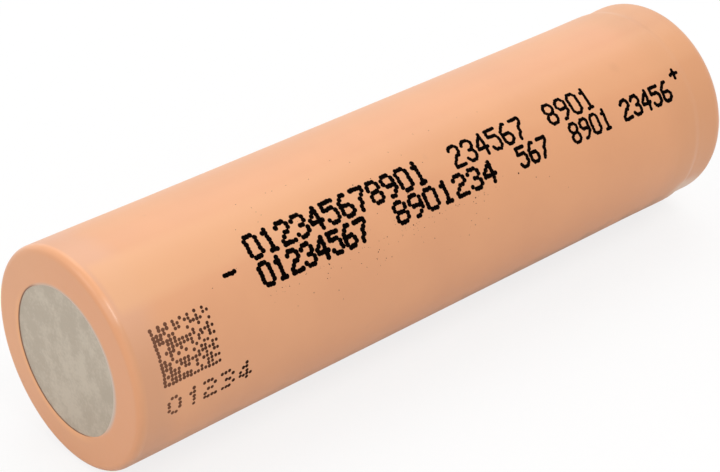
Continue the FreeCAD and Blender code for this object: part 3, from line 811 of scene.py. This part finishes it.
def polarity_marks(ink):
    """A minus towards the can's bottom and a plus towards the button."""
    for step in range(5):
        ink.dot(MINUS_START + MINUS_STEP * step, MINUS_TURN, MINUS_DOT)
    for step in (-2, -1, 0, 1, 2):
        ink.dot(PLUS_MIDDLE + PLUS_STEP * step, PLUS_TURN, PLUS_DOT)
        ink.dot(PLUS_MIDDLE, PLUS_TURN + round_by(PLUS_STEP * step), PLUS_DOT)


def stray_specks(ink):
    """Fine spray round the rows, a line of it under them, and a few specks further off."""
    hand = ink.hand
    for _ in range(80):
        ink.dot(hand.gauss(-7.0, 8.0), hand.gauss(36.0, 13.0), 0.03 + hand.expovariate(1 / 0.025))
    for _ in range(70):
        along = hand.uniform(-19.5, 5.0)
        turn = 29.0 - hand.expovariate(1 / 2.5)
        ink.dot(along, turn, 0.03 + hand.expovariate(1 / 0.02))
    for _ in range(16):
        ink.dot(hand.uniform(-20.0, 4.0), hand.uniform(12.0, 28.0), 0.07, jitter=0.3)
        ink.dot(hand.uniform(-20.0, 2.0), hand.uniform(60.0, 76.0), 0.06, jitter=0.3)


def black_marks():
    """Two rows of plain counting digits, the polarity marks and stray specks of ink."""
    ink = Ink(11)
    for top, row, groups in BLACK_ROWS:
        for digits, start, end, size, joined in groups:
            ink.group(digits, start, end, top, row, size, joined)
    polarity_marks(ink)
    stray_specks(ink)
    finish = printed_ink("black_ink", BLACK_INK, BLACK_INK, BLACK_INK_THIN)
    new_piece("black_print", ink.points, ink.faces, finish)


def square_dot(row, column, hand):
    """Whether the brown square has a dot: two full sides, two dashed ones, chance inside."""
    last = SQUARE_DOTS - 1
    if column == 0 or row == last:
        return True
    if row == 0:
        return column % 2 == 0
    if column == last:
        return row % 2 == 1
    return hand.random() < 0.5


def brown_marks():
    """A square of dots that encodes nothing, and a row of small digits under it."""
    ink = Ink(5)
    for row in range(SQUARE_DOTS):
        for column in range(SQUARE_DOTS):
            if square_dot(row, column, ink.hand):
                along = SQUARE_LEFT + SQUARE_ACROSS * column
                turn = SQUARE_TOP - round_by(SQUARE_DOWN * row)
                ink.dot(along, turn, SQUARE_DOT - SQUARE_DOT_LESS * column)
    ink.digits(
        "01234", SHORT_DIGITS, start=-30.0, step=1.67, column=0.33, top=0.14, row=0.345, size=0.32
    )
    finish = printed_ink("brown_ink", BROWN_INK, BROWN_INK_DARK, BROWN_INK_THIN)
    new_piece("brown_print", ink.points, ink.faces, finish)


make_film()
black_marks()
brown_marks()


# ---------------------------------------------------------------- floor, lights and camera
FLOOR_HALF = 0.8
WORLD_LIGHT = 0.64

# direction from the cell, distance and size in metres, and level
SOFTBOXES = {
    "far_softbox": ((0.5, 0.45, 0.74), 0.6, (0.5, 0.4), 0.28),
    "end_softbox": ((-0.7, 0.25, 0.67), 0.6, (0.3, 0.3), 0.18),
    "key_softbox": ((0.03, -0.49, 0.868), 0.6, (0.21, 0.21), 0.182),
    "front_fill": ((-0.5, -0.8, 0.35), 0.8, (0.9, 0.9), 0.08),
}

CAMERA_AZIMUTH, CAMERA_ELEVATION = math.radians(-41.678), math.radians(30.999)
CAMERA_AIM, CAMERA_DISTANCE = Vector((-2.342, 1.009, -1.635)), 178.0  # both in mm
CAMERA_LENS = 106.4


def pale_floor():
    """White paper that keeps the cell's shadow, and shows as the white background."""
    paper = Finish("pale_paper")
    seen = paper.seen_directly()
    tooth = paper.grain(0.7)
    as_lit = paper.blend(tooth, (0.7, 0.7, 0.7), (0.72, 0.72, 0.72))
    as_seen = paper.blend(tooth, (0.91, 0.91, 0.91), (0.94, 0.94, 0.94))
    matt = paper.node("BsdfDiffuse", None, {"Color": paper.blend(seen, as_lit, as_seen)})
    glow = paper.node("Emission", None, {"Color": (1, 1, 1, 1), "Strength": 1.0})
    share = 0.2 + 0.7 * paper.node("LightPath", output="Is Glossy Ray")
    shown = paper.node("MixShader", None, {0: share, 1: glow, 2: matt})
    floor = paper.node("MixShader", None, {0: seen, 1: matt, 2: shown})
    paper.node("OutputMaterial", None, {"Surface": floor})
    return paper.material


def make_floor():
    corners = ((-1, -1), (1, -1), (1, 1), (-1, 1))
    points = [(FLOOR_HALF * x, FLOOR_HALF * y, FLOOR_LEVEL) for x, y in corners]
    mesh = bpy.data.meshes.new("studio_floor")
    mesh.from_pydata(points, [], [(0, 1, 2, 3)])
    mesh.materials.append(pale_floor())
    floor = bpy.data.objects.new("studio_floor", mesh)
    bpy.context.scene.collection.objects.link(floor)


def light_world():
    """An even white surround that shows as plain white."""
    world = bpy.data.worlds.new("studio_surround")
    bpy.context.scene.world = world
    surround = Nodes(world)
    strength = WORLD_LIGHT + (1 - WORLD_LIGHT) * surround.seen_directly()
    glow = surround.node("Background", None, {"Color": (1, 1, 1, 1), "Strength": strength})
    surround.node("OutputWorld", None, {"Surface": glow})


def softbox(name, toward, distance, size, level):
    """An area lamp that adds level to what a white surface facing it gives off."""
    toward = Vector(toward).normalized()
    lamp = bpy.data.lights.new(name, "AREA")
    lamp.shape = "RECTANGLE"
    lamp.size, lamp.size_y = size
    lamp.energy = level * (math.pi * distance) ** 2
    holder = bpy.data.objects.new(name, lamp)
    holder.location = toward * distance
    holder.rotation_mode = "QUATERNION"
    holder.rotation_quaternion = toward.to_track_quat("Z", "Y")
    holder.visible_camera = False
    bpy.context.scene.collection.objects.link(holder)


def place_camera():
    """Looks down the cell from its plain end."""
    level = math.cos(CAMERA_ELEVATION)
    back = Vector(
        (
            math.sin(CAMERA_AZIMUTH) * level,
            -math.cos(CAMERA_AZIMUTH) * level,
            math.sin(CAMERA_ELEVATION),
        )
    )
    lens = bpy.data.cameras.new("studio_camera")
    lens.lens = CAMERA_LENS
    lens.sensor_width = 36.0
    lens.clip_start, lens.clip_end = 0.01, 10.0
    camera = bpy.data.objects.new("studio_camera", lens)
    camera.location = CAMERA_AIM * MM + back * CAMERA_DISTANCE * MM
    camera.rotation_mode = "QUATERNION"
    camera.rotation_quaternion = back.to_track_quat("Z", "Y")
    bpy.context.scene.collection.objects.link(camera)
    bpy.context.scene.camera = camera


make_floor()
light_world()
for name, settings in SOFTBOXES.items():
    softbox(name, *settings)
place_camera()
bpy.context.scene.view_settings.view_transform = "Standard"
